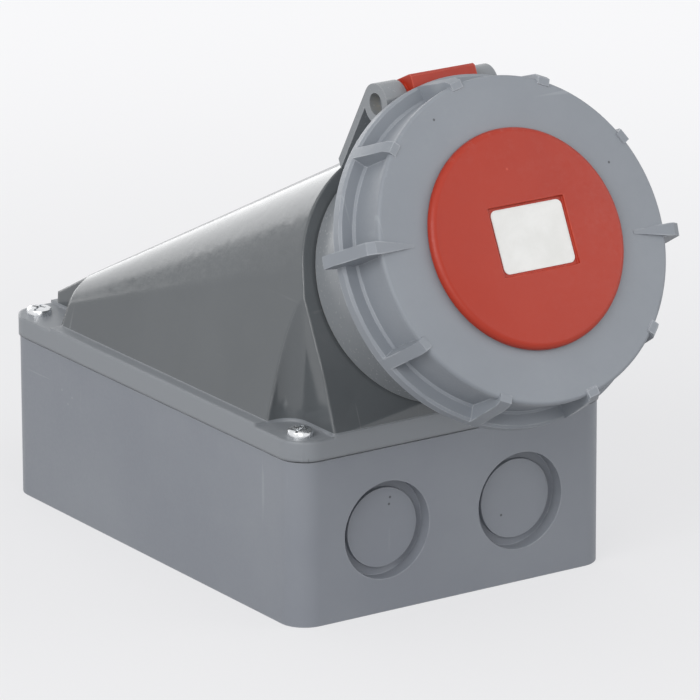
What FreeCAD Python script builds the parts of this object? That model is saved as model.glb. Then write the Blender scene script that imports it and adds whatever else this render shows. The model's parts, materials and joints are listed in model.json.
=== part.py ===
"""Industrial wall socket: back box, inclined hood, round socket with hinged lid and bayonet ring."""
import FreeCAD
import Part
import math
import os
import re
import Sketcher

VECTOR = FreeCAD.Vector
SHEET = "Sizes"

# Driving sizes in millimetres and degrees.
# The back of the box lies on Z = 0, X runs across it and -Y is the end that the mouth faces.
# The socket's own frame sits on the hood's face: X across, Y up the face, Z out along the mouth.
SIZES = {
    # back box
    "box_width": 118.6,
    "box_length": 170.6,
    "box_height": 54.0,
    "box_corner": 8.8,
    "box_wall": 4.0,
    "box_floor": 4.0,
    "screw_inset_side": 6.6,
    "screw_inset_end": 7.6,
    "post_radius": 6.2,
    "insert_radius": 3.2,
    "insert_length": 10.0,
    "fixing_inset_side": 17.3,
    "fixing_inset_end": 23.3,
    "fixing_hole": 2.75,
    "fixing_boss": 7.0,
    "fixing_boss_height": 2.5,
    # cable entries in the ends of the box
    "entry_side": 25.35,
    "entry_height": 26.9,
    "entry_radius": 15.95,
    "entry_depth": 4.7,
    "entry_web": 1.3,
    "entry_rim": 2.2,
    "island_radius": 13.0,
    "island_setback": 3.0,
    # hood
    "parting_gap": 0.4,
    "flange_height": 8.0,
    "flange_overhang": 0.5,
    "flange_plate": 3.0,
    "flange_skirt": 4.5,
    "gasket_inset": 1.7,
    "gasket_width": 1.8,
    "gasket_height": 2.4,
    "hood_inset_side": 4.0,
    "hood_wall": 3.0,
    "arch_radius": 44.0,
    "crown_angle": 8.0,
    "hood_inset_back": 3.6,
    "hood_back_height": 2.8,
    "hood_back_radius": 5.0,
    "notch_drop": 1.0,
    "notch_radius": 7.0,
    "front_notch_side": 7.5,
    "front_notch_end": 14.9,
    "back_notch_side": 9.5,
    "back_notch_end": 18.0,
    "front_notch_lean": 0.02,
    "back_notch_lean": 0.17,
    "boss_radius": 3.4,
    # cover screws
    "screw_radius": 2.0,
    "screw_play": 0.2,
    "screw_length": 15.0,
    "screw_head": 4.1,
    "screw_head_height": 2.4,
    # hood face and socket axis
    "tilt": 25.8,
    "face_setback": 16.3,
    "face_rise": 46.43,
    # neck of the socket
    "neck_gasket": 1.0,
    "neck_radius": 40.0,
    "neck_bore": 36.5,
    "spigot_radius": 36.3,
    "spigot_bore": 33.3,
    "spigot_length": 14.0,
    "spigot_play": 0.5,
    "shoulder_top": 4.0,
    "shoulder_hole": 31.0,
    "collar_radius": 42.5,
    "collar_start": 36.0,
    "flare_start": 30.0,
    "key_width": 9.0,
    "key_depth": 1.9,
    "key_length": 41.0,
    "ramp_radius": 48.2,
    "ramp_low": 46.0,
    "ramp_high": 50.0,
    "ramp_start": 13.7,
    "ramp_sweep": 35.5,
    "ramp_stop": 4.0,
    # clamp nut
    "nut_radius": 39.6,
    "nut_height": 8.0,
    "nut_play": 0.1,
    "nut_slot": 6.0,
    # bayonet ring
    "ring_face": 60.0,
    "ring_length": 20.3,
    "ring_front_radius": 51.7,
    "ring_panel_radius": 50.6,
    "ring_rim_radius": 55.8,
    "ring_rim_width": 4.0,
    "ring_bore": 48.6,
    "ring_plate": 3.2,
    "ring_window": 32.2,
    "ring_edge": 1.2,
    "ring_turn": -6.3,
    "rib_count": 10.0,
    "rib_width": 4.0,
    "rib_front_radius": 53.7,
    "grip_radius": 60.3,
    "grip_root": 40.0,
    "grip_rise": 1.5,
    "lug_radius": 46.4,
    "lug_width": 7.6,
    "lug_low": 41.0,
    "lug_high": 45.0,
    # lid
    "play": 0.3,
    "lid_plate": 3.0,
    "lid_radius": 48.0,
    "cap_seat_radius": 27.0,
    "cap_radius": 34.8,
    "cap_height": 3.0,
    "cap_edge": 2.0,
    "cap_spigot": 2.5,
    "cap_spigot_bore": 24.0,
    "seal_inner": 35.4,
    "seal_outer": 41.2,
    "seal_height": 1.7,
    "seal_lip": 0.9,
    "label_side": 1.7,
    "label_width": 28.0,
    "label_height": 21.7,
    "label_depth": 1.0,
    "label_margin": 0.8,
    "label_thickness": 0.3,
    "label_corner": 2.0,
    # hinge
    "hinge_up": 53.0,
    "hinge_out": 30.0,
    "arm_half_width": 12.0,
    "arm_inner": 43.8,
    "arm_outer": 46.6,
    "knuckle_radius": 6.2,
    "knuckle_half_width": 12.7,
    "ear_gap": 13.0,
    "ear_width": 8.0,
    "ear_radius": 6.5,
    "brace_angle": 33.4,
    "brace_thickness": 2.6,
    "brace_web": 2.8,
    "pin_radius": 2.5,
    "pin_play": 0.05,
    "pin_recess": 4.0,
    "pin_hole": 3.5,
    "spring_pocket": 4.8,
    "spring_half_width": 5.0,
    "spring_radius": 3.7,
    "spring_wire": 0.7,
    "spring_coils": 6.0,
    # contacts and their carrier
    "tower_radius": 30.7,
    "tower_top": 40.0,
    "carrier_flange": 33.1,
    "carrier_flange_height": 4.0,
    "carrier_back": 6.0,
    "clip_inner": 31.3,
    "clip_outer": 34.4,
    "clip_height": 1.5,
    "clip_play": 0.2,
    "clip_opening_angle": 30.0,
    "carrier_turn": 11.0,
    "contact_circle": 18.5,
    "contact_turn": 11.0,
    "contact_wall": 2.0,
    "contact_play": 0.1,
    "contact_setback": 2.1,
    "contact_depth": 30.0,
    "contact_collar": 0.9,
    "contact_slit": 1.0,
    "contact_slit_length": 16.0,
    "phase_bore": 4.05,
    "earth_bore": 5.05,
    "pilot_bore": 3.05,
    "pilot_offset": 0.0,
    "pilot_setback": 10.1,
    "retainer_radius": 30.4,
    "retainer_gap": 2.0,
    "retainer_height": 3.0,
    "retainer_screw_circle": 22.0,
    "retainer_screw_length": 10.0,
    "retainer_screw_end": 3.0,
    "terminal_length": 16.0,
    "wire_hole": 3.3,
    "wire_depth": 12.0,
    "terminal_screw_inset": 6.0,
    "terminal_screw_radius": 2.0,
    "terminal_head": 3.1,
    "terminal_head_height": 2.2,
}

# Heights along the socket's axis that several pieces share.
RING_BACK = "(ring_face - ring_length)"
LID_FRONT = "(ring_face - ring_plate - play)"
LID_BACK = "(ring_face - ring_plate - play - lid_plate)"
MOUTH = "(ring_face - ring_plate - 2 * play - lid_plate - seal_height)"
CAP_SEAT = "(ring_face + play)"
SCREW_X = "(box_width / 2 - screw_inset_side)"
SCREW_Y = "(box_length / 2 - screw_inset_end)"
FIXING_X = "(box_width / 2 - fixing_inset_side)"
FIXING_Y = "(box_length / 2 - fixing_inset_end)"

DOC = FreeCAD.newDocument("wall_socket")


def fill_sheet():
    """Writes every driving size into the sheet, one alias for each."""
    sheet = DOC.addObject("Spreadsheet::Sheet", SHEET)
    for row, (name, number) in enumerate(SIZES.items(), start=1):
        sheet.set("A%d" % row, name)
        sheet.set("B%d" % row, str(number))
        sheet.setAlias("B%d" % row, name)
    DOC.recompute()
    return {name: float(sheet.get(name)) for name in SIZES}


def bound(expression):
    """Puts the sheet's name in front of every size in an expression."""
    def with_sheet(word):
        return SHEET + "." + word.group() if word.group() in SIZES else word.group()
    return re.sub(r"[a-z_]+", with_sheet, expression)


def new_body(name, on_axis=False, turn="0", across="0", up="0"):
    """Starts a body, in the box's frame or in the socket's own frame."""
    body = DOC.addObject("PartDesign::Body", name)
    body.Label = name
    if on_axis:
        body.setExpression("Placement", bound(
            "placement(vector(0; face_setback - box_length / 2; box_height + face_rise);"
            " rotation(vector(1; 0; 0); 90 - tilt))"
            " * placement(vector(%s; %s; 0); rotation(vector(0; 0; 1); %s))" % (across, up, turn)))
    return body


def new_sketch(body, plane, offset="0", turn="0"):
    """Sketch on one of the body's origin planes, moved along its normal and turned about its upright."""
    sketch = body.newObject("Sketcher::SketchObject", body.Name + "_sketch")
    support = [item for item in body.Origin.OriginFeatures if item.Role == plane][0]
    sketch.AttachmentSupport = [(support, "")]
    sketch.MapMode = "FlatFace"
    sketch.setExpression("AttachmentOffset", bound(
        "placement(vector(0; 0; %s); rotation(vector(0; 1; 0); %s))" % (offset, turn)))
    return sketch


def outline(sketch, corners):
    """Closed outline through corners that are given as pairs of expressions."""
    first = sketch.GeometryCount
    count = len(corners)
    spread = [VECTOR(10 * math.cos(2 * math.pi * i / count), 10 * math.sin(2 * math.pi * i / count), 0)
              for i in range(count)]
    sketch.addGeometry([Part.LineSegment(spread[i], spread[(i + 1) % count]) for i in range(count)])
    sketch.addConstraint([Sketcher.Constraint("Coincident", first + i, 2, first + (i + 1) % count, 1)
                          for i in range(count)])
    for index, corner in enumerate(corners):
        for kind, text in zip(("DistanceX", "DistanceY"), corner):
            number = sketch.addConstraint(Sketcher.Constraint(kind, -1, 1, first + index, 1, 1.0))
            sketch.setExpression("Constraints[%d]" % number, bound(text))
    return sketch


def rectangle(sketch, left, right, low, high):
    """Rectangle between four expressions."""
    return outline(sketch, [(left, low), (right, low), (right, high), (left, high)])


def circle(sketch, radius, across="0", up="0"):
    """Circle whose centre and radius are expressions."""
    number = sketch.addGeometry(Part.Circle(VECTOR(1, 1, 0), VECTOR(0, 0, 1), 1.0))
    for kind, text in (("DistanceX", across), ("DistanceY", up)):
        index = sketch.addConstraint(Sketcher.Constraint(kind, -1, 1, number, 3, 1.0))
        sketch.setExpression("Constraints[%d]" % index, bound(text))
    index = sketch.addConstraint(Sketcher.Constraint("Radius", number, 1.0))
    sketch.setExpression("Constraints[%d]" % index, bound(radius))
    return sketch


def extrude(kind, body, sketch, length, back=False):
    """Pad along the sketch's normal, or pocket against it; back turns either round."""
    feature = body.newObject("PartDesign::" + kind, body.Name + "_" + kind.lower())
    feature.Profile = sketch
    feature.Reversed = back
    feature.setExpression("Length", bound(length))
    body.Tip = feature
    return feature


def turned(body, corners, sweep="360", start="0", kind="Revolution"):
    """Turns an outline of (radius, height) corners about the body's upright axis."""
    sketch = outline(new_sketch(body, "XZ_Plane", turn=start), corners)
    feature = body.newObject("PartDesign::" + kind, body.Name + "_" + kind.lower())
    feature.Profile = sketch
    feature.ReferenceAxis = (sketch, ["V_Axis"])
    feature.setExpression("Angle", bound(sweep))
    body.Tip = feature
    return feature


def around(body, features, count):
    """Repeats features round the body's upright axis."""
    pattern = body.newObject("PartDesign::PolarPattern", body.Name + "_pattern")
    pattern.Originals = features
    pattern.Axis = ([item for item in body.Origin.OriginFeatures if item.Role == "Z_Axis"][0], [""])
    pattern.Angle = 360
    pattern.setExpression("Occurrences", bound(count))
    body.Tip = pattern
    return pattern


def rounded(body, radius, chosen):
    """Fillets those edges of the body so far that the test picks."""
    DOC.recompute()
    base = body.Tip
    names = ["Edge%d" % (i + 1) for i, edge in enumerate(base.Shape.Edges) if chosen(edge)]
    fillet = body.newObject("PartDesign::Fillet", body.Name + "_fillet")
    fillet.Base = (base, names)
    fillet.setExpression("Radius", bound(radius))
    body.Tip = fillet
    return fillet


def upright(edge):
    """True for a straight edge that stands along Z."""
    ends = [vertex.Point for vertex in edge.Vertexes]
    return len(ends) == 2 and abs(ends[0].x - ends[1].x) + abs(ends[0].y - ends[1].y) < 1e-6


def rim_edge(radius, height):
    """Test for the circular edge of one radius at one height."""
    def chosen(edge):
        box = edge.BoundBox
        return abs(box.XMax - radius) < 1e-4 and abs(box.ZMax - height) + abs(box.ZMin - height) < 1e-4
    return chosen


def shaped(name, shape):
    """Node whose shape is built by code from the sheet's sizes."""
    node = DOC.addObject("Part::Feature", name)
    node.Label = name
    node.Shape = shape
    return node


def turned_solid(corners):
    """Solid of revolution about Z from (radius, height) corners."""
    points = [VECTOR(radius, 0, height) for radius, height in corners]
    face = Part.Face(Part.makePolygon(points + points[:1]))
    return face.revolve(VECTOR(0, 0, 0), VECTOR(0, 0, 1), 360)


def four_corners(reach_x, reach_y):
    """The four sign combinations of a pair of distances."""
    return [(side * reach_x, end * reach_y) for side in (-1, 1) for end in (-1, 1)]


def make_base_box():
    """Moulded box: walls, floor, corner posts, fixing bosses and knock-out entries in both ends."""
    body = new_body("base_box")
    sketch = new_sketch(body, "XY_Plane")
    rectangle(sketch, "-box_width / 2", "box_width / 2", "-box_length / 2", "box_length / 2")
    extrude("Pad", body, sketch, "box_height")
    rounded(body, "box_corner", upright)
    sketch = new_sketch(body, "XY_Plane", "box_floor")
    rectangle(sketch, "box_wall - box_width / 2", "box_width / 2 - box_wall",
              "box_wall - box_length / 2", "box_length / 2 - box_wall")
    extrude("Pocket", body, sketch, "box_height", back=True)
    posts = new_sketch(body, "XY_Plane")
    bores = new_sketch(body, "XY_Plane", "box_height")
    bosses = new_sketch(body, "XY_Plane")
    holes = new_sketch(body, "XY_Plane")
    for side in ("", "-"):
        for end in ("", "-"):
            circle(posts, "post_radius", side + SCREW_X, end + SCREW_Y)
            circle(bores, "insert_radius", side + SCREW_X, end + SCREW_Y)
            circle(bosses, "fixing_boss", side + FIXING_X, end + FIXING_Y)
            circle(holes, "fixing_hole", side + FIXING_X, end + FIXING_Y)
    extrude("Pad", body, posts, "box_height")
    extrude("Pad", body, bosses, "box_floor + fixing_boss_height")
    extrude("Pocket", body, bores, "insert_length + 2")
    extrude("Pocket", body, holes, "box_height", back=True)
    for end, back in (("box_length / 2", True), ("-box_length / 2", False)):
        cups = new_sketch(body, "XZ_Plane", end)
        grooves = new_sketch(body, "XZ_Plane", end)
        islands = new_sketch(body, "XZ_Plane", end)
        for side in ("-", ""):
            circle(cups, "entry_radius + entry_rim", side + "entry_side", "entry_height")
            circle(grooves, "entry_radius", side + "entry_side", "entry_height")
            circle(grooves, "island_radius", side + "entry_side", "entry_height")
            circle(islands, "island_radius", side + "entry_side", "entry_height")
        extrude("Pad", body, cups, "entry_depth + entry_web", back=back)
        extrude("Pocket", body, grooves, "entry_depth", back=not back)
        extrude("Pocket", body, islands, "island_setback", back=not back)
    return body


def make_cover_gasket():
    """Rubber cord that runs round the box's rim, under the groove of the hood."""
    body = new_body("cover_gasket")
    sketch = new_sketch(body, "XY_Plane", "box_height")
    for shift in (" + gasket_width / 2", " - gasket_width / 2"):
        reach_x = "(box_width / 2 - gasket_inset%s)" % shift
        reach_y = "(box_length / 2 - gasket_inset%s)" % shift
        rectangle(sketch, "-" + reach_x, reach_x, "-" + reach_y, reach_y)
    extrude("Pad", body, sketch, "gasket_height")
    rounded(body, "box_corner - gasket_inset - gasket_width / 2", upright)
    return body


def socket_frame(size):
    """Placement of the socket's own frame on the hood's face."""
    centre = VECTOR(0, size["face_setback"] - size["box_length"] / 2, size["box_height"] + size["face_rise"])
    return FreeCAD.Placement(centre, FreeCAD.Rotation(VECTOR(1, 0, 0), 90 - size["tilt"]))


def at_angle(radius, degrees):
    """Point in the XY plane at a radius and an angle."""
    return VECTOR(radius * math.cos(math.radians(degrees)), radius * math.sin(math.radians(degrees)), 0)


def screw_seats(size):
    """Places of the four cover screws, seen from above."""
    return four_corners(size["box_width"] / 2 - size["screw_inset_side"],
                        size["box_length"] / 2 - size["screw_inset_end"])


def arc(centre, radius, start, end):
    """Arc in the XY plane between two angles in degrees."""
    points = [centre + at_angle(radius, angle) for angle in (start, (start + end) / 2, end)]
    return Part.Arc(*points).toShape()


def arch_edges(half_base, base, tangent_angle, radius, crown):
    """Front section in its own plane: base, side, three arcs of one circle and the other side."""
    split = 90 - crown
    zero = VECTOR(0, 0, 0)
    tangent = at_angle(radius, tangent_angle)
    mirrored = VECTOR(-tangent.x, tangent.y, 0)
    return [
        Part.LineSegment(VECTOR(-half_base, base, 0), VECTOR(half_base, base, 0)).toShape(),
        Part.LineSegment(VECTOR(half_base, base, 0), tangent).toShape(),
        arc(zero, radius, tangent_angle, split),
        arc(zero, radius, split, 180 - split),
        arc(zero, radius, 180 - split, 180 - tangent_angle),
        Part.LineSegment(mirrored, VECTOR(-half_base, base, 0)).toShape(),
    ]


def low_edges(side_at, base, lean, radius, crown, top):
    """Back section: low and wide, with small corner arcs and a slightly crowned top."""
    split = 90 - crown
    centre_up = top - radius * math.sin(math.radians(split))
    touch_up = centre_up + radius * math.sin(lean)
    centre_across = side_at(touch_up) - radius * math.cos(lean)
    touch = VECTOR(side_at(touch_up), touch_up, 0)
    mirrored = VECTOR(-touch.x, touch.y, 0)
    half_top = centre_across + radius * math.cos(math.radians(split))
    crown_radius = half_top / math.sin(math.radians(crown))
    crown_centre = VECTOR(0, top - crown_radius * math.cos(math.radians(crown)), 0)
    lean_angle = math.degrees(lean)
    return [
        Part.LineSegment(VECTOR(-side_at(base), base, 0), VECTOR(side_at(base), base, 0)).toShape(),
        Part.LineSegment(VECTOR(side_at(base), base, 0), touch).toShape(),
        arc(VECTOR(centre_across, centre_up, 0), radius, lean_angle, split),
        arc(crown_centre, crown_radius, split, 180 - split),
        arc(VECTOR(-centre_across, centre_up, 0), radius, 180 - split, 180 - lean_angle),
        Part.LineSegment(mirrored, VECTOR(-side_at(base), base, 0)).toShape(),
    ]


def hood_loft(size, inset, base):
    """Loft from the round arch at the face down to the low back, with each edge ruled to its match."""
    tilt = math.radians(size["tilt"])
    flange_top = size["box_height"] + size["flange_height"]
    full_half = size["box_width"] / 2 - size["hood_inset_side"]
    half = full_half - inset
    radius = size["arch_radius"] - inset
    face = socket_frame(size)
    face.Base = face.Base - face.Rotation.multVec(VECTOR(0, 0, inset))

    def up_the_face(height):
        return (height - face.Base.z) / math.cos(tilt)

    foot_up = up_the_face(flange_top)
    foot_reach = math.hypot(foot_up, half)
    tangent_angle = math.degrees(math.atan2(foot_up, half) + math.acos(radius / foot_reach))
    slope = math.tan(math.radians(tangent_angle))
    half_base = half + (foot_up - up_the_face(base)) * slope
    front = arch_edges(half_base, up_the_face(base), tangent_angle, radius, size["crown_angle"])

    lean = math.atan(slope / math.cos(tilt))

    def side_at(height):
        return half + (flange_top - height) * math.tan(lean)

    back_top = flange_top + size["hood_back_height"] - inset
    back_radius = size["hood_back_radius"] * half / full_half
    back = low_edges(side_at, base, lean, back_radius, size["crown_angle"], back_top)
    back_y = size["box_length"] / 2 - size["hood_inset_back"] - inset
    back_plane = FreeCAD.Placement(VECTOR(0, back_y, 0), FreeCAD.Rotation(VECTOR(1, 0, 0), 90))
    for edges, placement in ((front, face), (back, back_plane)):
        for edge in edges:
            edge.Placement = placement
    faces = [Part.makeRuledSurface(near, far) for near, far in zip(front, back)]
    faces += [Part.Face(Part.Wire(front)), Part.Face(Part.Wire(back))]
    shell = Part.Shell(faces)
    shell.sewShape()
    solid = Part.Solid(shell)
    if solid.Volume < 0:
        solid.reverse()
    return solid


def notch(side, end, lean, radius, floor, top, far, towards):
    """Corner notch with a rounded inner corner, whose walls lean away as they rise."""
    side_share = 0.3
    sections = []
    for height in (floor, top):
        shift = lean * (height - floor)
        inner = side - shift * side_share
        edge = (end - shift) * towards
        outer = far * towards
        corner = VECTOR(inner + radius, edge + radius * towards, height)
        bend = corner + at_angle(radius, -135 * towards)
        start = VECTOR(inner, edge + radius * towards, height)
        finish = VECTOR(inner + radius, edge, height)
        sections.append(Part.Wire([
            Part.LineSegment(VECTOR(inner, outer, height), start).toShape(),
            Part.Arc(start, bend, finish).toShape(),
            Part.LineSegment(finish, VECTOR(far, edge, height)).toShape(),
            Part.LineSegment(VECTOR(far, edge, height), VECTOR(far, outer, height)).toShape(),
            Part.LineSegment(VECTOR(far, outer, height), VECTOR(inner, outer, height)).toShape(),
        ]))
    return Part.makeLoft(sections, True, True)


def notches(size, grow, drop):
    """The four corner notches, or the same four grown by a wall."""
    flange_top = size["box_height"] + size["flange_height"]
    far = size["box_length"]
    top = size["box_height"] + size["face_rise"] + size["arch_radius"] * 1.5
    screw_x = size["box_width"] / 2 - size["screw_inset_side"]
    screw_y = size["box_length"] / 2 - size["screw_inset_end"]
    cutters = []
    for place, towards in (("front", -1), ("back", 1)):
        side = screw_x - size[place + "_notch_side"] - grow
        end = screw_y - size[place + "_notch_end"] - grow
        cutter = notch(side, end, size[place + "_notch_lean"], size["notch_radius"], flange_top - drop, top,
                       far, towards)
        cutters += [cutter, cutter.mirror(VECTOR(0, 0, 0), VECTOR(1, 0, 0))]
    return cutters


def block(half_x, half_y, low, high, corner):
    """Block with rounded upright edges, centred on the box."""
    box = Part.makeBox(2 * half_x, 2 * half_y, high - low, VECTOR(-half_x, -half_y, low))
    return box.makeFillet(corner, [edge for edge in box.Edges if upright(edge)])


def make_hood(size):
    """Cover: flange, lofted hood with four corner notches, hollow inside, with the socket's opening."""
    seam = size["box_height"] + size["parting_gap"]
    flange_top = size["box_height"] + size["flange_height"]
    plate_low = flange_top - size["flange_plate"]
    half_x = size["box_width"] / 2 + size["flange_overhang"]
    half_y = size["box_length"] / 2 + size["flange_overhang"]
    corner = size["box_corner"] + size["flange_overhang"]
    skirt = size["flange_skirt"]
    wall = size["hood_wall"]

    outer = block(half_x, half_y, seam, flange_top, corner).fuse(hood_loft(size, 0, plate_low + wall / 3))
    outer = outer.cut(notches(size, 0, size["notch_drop"])).removeSplitter()
    room = hood_loft(size, wall, seam).cut(notches(size, wall, size["flange_plate"]))
    tray = block(half_x - skirt, half_y - skirt, size["box_height"], plate_low, corner - skirt)
    hood = outer.cut([room, tray])

    rim = size["box_height"]
    boss_height = plate_low + wall / 3 - rim
    hole_height = flange_top - size["notch_drop"] - rim
    hole_radius = size["screw_radius"] + size["screw_play"]
    seats = [VECTOR(x, y, rim) for x, y in screw_seats(size)]
    bosses = [Part.makeCylinder(size["boss_radius"], boss_height, seat) for seat in seats]
    holes = [Part.makeCylinder(hole_radius, hole_height, seat) for seat in seats]
    hood = hood.fuse(bosses).cut(holes)

    middle = size["gasket_inset"]
    reach = size["gasket_width"] / 2
    groove_top = size["box_height"] + size["gasket_height"]
    rims = []
    for shift in (reach, -reach):
        rims.append(block(size["box_width"] / 2 - middle + shift, size["box_length"] / 2 - middle + shift,
                          rim, groove_top, size["box_corner"] - middle - reach))
    hood = hood.cut(rims[0].cut(rims[1]))

    opening_radius = size["spigot_radius"] + size["spigot_play"]
    opening = Part.makeCylinder(opening_radius, 3 * wall, VECTOR(0, 0, -2 * wall))
    opening.Placement = socket_frame(size).multiply(opening.Placement)
    return shaped("hood", hood.cut(opening).removeSplitter())


def slotted_screw(head, head_height, shank, length):
    """Screw with its head's underside at Z = 0 and one slot across the head."""
    point = shank * 0.7
    point_length = shank * 0.4
    crown = head_height * 0.7
    crown_radius = head * 0.75
    slot_width = head * 0.26
    slot_floor = head_height * 0.5
    solid = turned_solid([(0, -length), (point, -length), (shank, -length + point_length), (shank, 0),
                          (head, 0), (head, crown), (crown_radius, head_height), (0, head_height)])
    slot = Part.makeBox(3 * head, slot_width, head_height, VECTOR(-1.5 * head, -slot_width / 2, slot_floor))
    return solid.cut(slot)


def make_cover_screws(size):
    """Four screws that clamp the hood to the box."""
    pad_top = size["box_height"] + size["flange_height"] - size["notch_drop"]
    screw = slotted_screw(size["screw_head"], size["screw_head_height"], size["screw_radius"],
                          size["screw_length"])
    screws = [screw.translated(VECTOR(x, y, pad_top)) for x, y in screw_seats(size)]
    return shaped("cover_screws", Part.makeCompound(screws))


def make_threaded_inserts(size):
    """Four brass inserts in the box's posts."""
    outer = size["insert_radius"]
    bore = size["screw_radius"] + size["pin_play"]
    length = size["insert_length"]
    groove = outer - 0.5
    insert = turned_solid([(bore, 0), (outer, 0), (outer, length * 0.4), (groove, length * 0.45),
                           (groove, length * 0.55), (outer, length * 0.6), (outer, length), (bore, length)])
    low = size["box_height"] - length
    inserts = [insert.translated(VECTOR(x, y, low)) for x, y in screw_seats(size)]
    return shaped("threaded_inserts", Part.makeCompound(inserts))


def make_socket_housing():
    """Neck with its spigot, shoulder, bayonet ramps, keyway and the two hinge ears with their braces."""
    body = new_body("socket_housing", on_axis=True)
    turned(body, [
        ("spigot_bore", "-spigot_length"), ("spigot_radius", "-spigot_length"),
        ("spigot_radius", "neck_gasket"), ("neck_radius", "neck_gasket"),
        ("neck_radius", "flare_start"), ("collar_radius", "collar_start"),
        ("collar_radius", MOUTH + " - 2.5"), ("neck_radius", MOUTH), ("neck_bore", MOUTH),
        ("neck_bore", "shoulder_top"), ("shoulder_hole", "shoulder_top"), ("shoulder_hole", "0"),
        ("spigot_bore", "0"),
    ])
    turned(body, [
        ("spigot_bore - 1", "-carrier_flange_height + clip_play / 2"),
        ("clip_outer + clip_play", "-carrier_flange_height + clip_play / 2"),
        ("clip_outer + clip_play", "-carrier_flange_height - clip_height - clip_play / 2"),
        ("spigot_bore - 1", "-carrier_flange_height - clip_height - clip_play / 2"),
    ], kind="Groove")
    ramp = turned(body, [
        ("collar_radius - 0.5", "ramp_low"), ("ramp_radius", "ramp_low"),
        ("ramp_radius", "ramp_high - 1"), ("ramp_radius - 1", "ramp_high"),
        ("collar_radius - 0.5", "ramp_high"),
    ], sweep="ramp_sweep", start="ring_turn - ramp_start - ramp_sweep")
    around(body, [ramp], "2")
    stop = turned(body, [
        ("collar_radius - 0.5", "lug_low - 1"), ("ramp_radius", "lug_low - 1"),
        ("ramp_radius", "ramp_low + 0.5"), ("collar_radius - 0.5", "ramp_low + 0.5"),
    ], sweep="ramp_stop", start="ring_turn - ramp_start - ramp_sweep")
    around(body, [stop], "2")
    key = new_sketch(body, "XY_Plane", MOUTH)
    rectangle(key, "-key_width / 2", "key_width / 2", "-neck_bore - key_depth", "-neck_bore + 3")
    extrude("Pocket", body, key, "key_length")

    touch_up = "(hinge_up + ear_radius * cos(brace_angle))"
    touch_out = "(hinge_out - ear_radius * sin(brace_angle))"
    foot_out = "(neck_gasket + 0.5)"
    foot_up = "(%s - tan(brace_angle) * (%s - %s))" % (touch_up, touch_out, foot_out)
    inner_shift = "brace_thickness / cos(brace_angle)"
    root_up = "(neck_bore - 0.8)"
    left_ear = "-ear_gap - ear_width"
    for offset, web_offset in (("ear_gap", "ear_gap"), (left_ear, "-ear_gap - brace_web")):
        ear = circle(new_sketch(body, "YZ_Plane", offset), "ear_radius", "hinge_up", "hinge_out")
        web = outline(new_sketch(body, "YZ_Plane", web_offset), [
            (touch_up, touch_out), (foot_up, foot_out), (root_up, foot_out),
            (root_up, "hinge_out + 1"), ("hinge_up - ear_radius", "hinge_out + 1"), ("hinge_up", "hinge_out"),
        ])
        brace = outline(new_sketch(body, "YZ_Plane", offset), [
            (touch_up, touch_out), (foot_up, foot_out), (foot_up + " - " + inner_shift, foot_out),
            (touch_up + " - " + inner_shift, touch_out),
        ])
        extrude("Pad", body, web, "brace_web")
        extrude("Pad", body, brace, "ear_width")
        extrude("Pad", body, ear, "ear_width")
    bore = circle(new_sketch(body, "YZ_Plane", left_ear), "pin_radius + pin_play", "hinge_up", "hinge_out")
    extrude("Pocket", body, bore, "2 * (ear_gap + ear_width)", back=True)
    for offset, back in (("ear_gap + ear_width", False), (left_ear, True)):
        hole = circle(new_sketch(body, "YZ_Plane", offset), "pin_hole", "hinge_up", "hinge_out")
        extrude("Pocket", body, hole, "pin_recess", back=back)
    return body


def make_housing_gasket():
    """Flat rubber ring under the neck."""
    body = new_body("housing_gasket", on_axis=True)
    inner = "(spigot_radius + spigot_play + 0.2)"
    turned(body, [(inner, "0"), ("neck_radius - 0.4", "0"), ("neck_radius - 0.4", "neck_gasket"),
                  (inner, "neck_gasket")])
    return body


def make_clamp_nut():
    """Ring nut inside the hood, with slots for its spanner."""
    body = new_body("clamp_nut", on_axis=True)
    turned(body, [
        ("spigot_radius + nut_play", "-hood_wall - nut_height"), ("nut_radius", "-hood_wall - nut_height"),
        ("nut_radius", "-hood_wall"), ("spigot_radius + nut_play", "-hood_wall"),
    ])
    slot = new_sketch(body, "XY_Plane", "-hood_wall - nut_height")
    rectangle(slot, "nut_radius - 1.4", "nut_radius + 2", "-nut_slot / 2", "nut_slot / 2")
    around(body, [extrude("Pocket", body, slot, "nut_height * 0.7", back=True)], "8")
    return body


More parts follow.
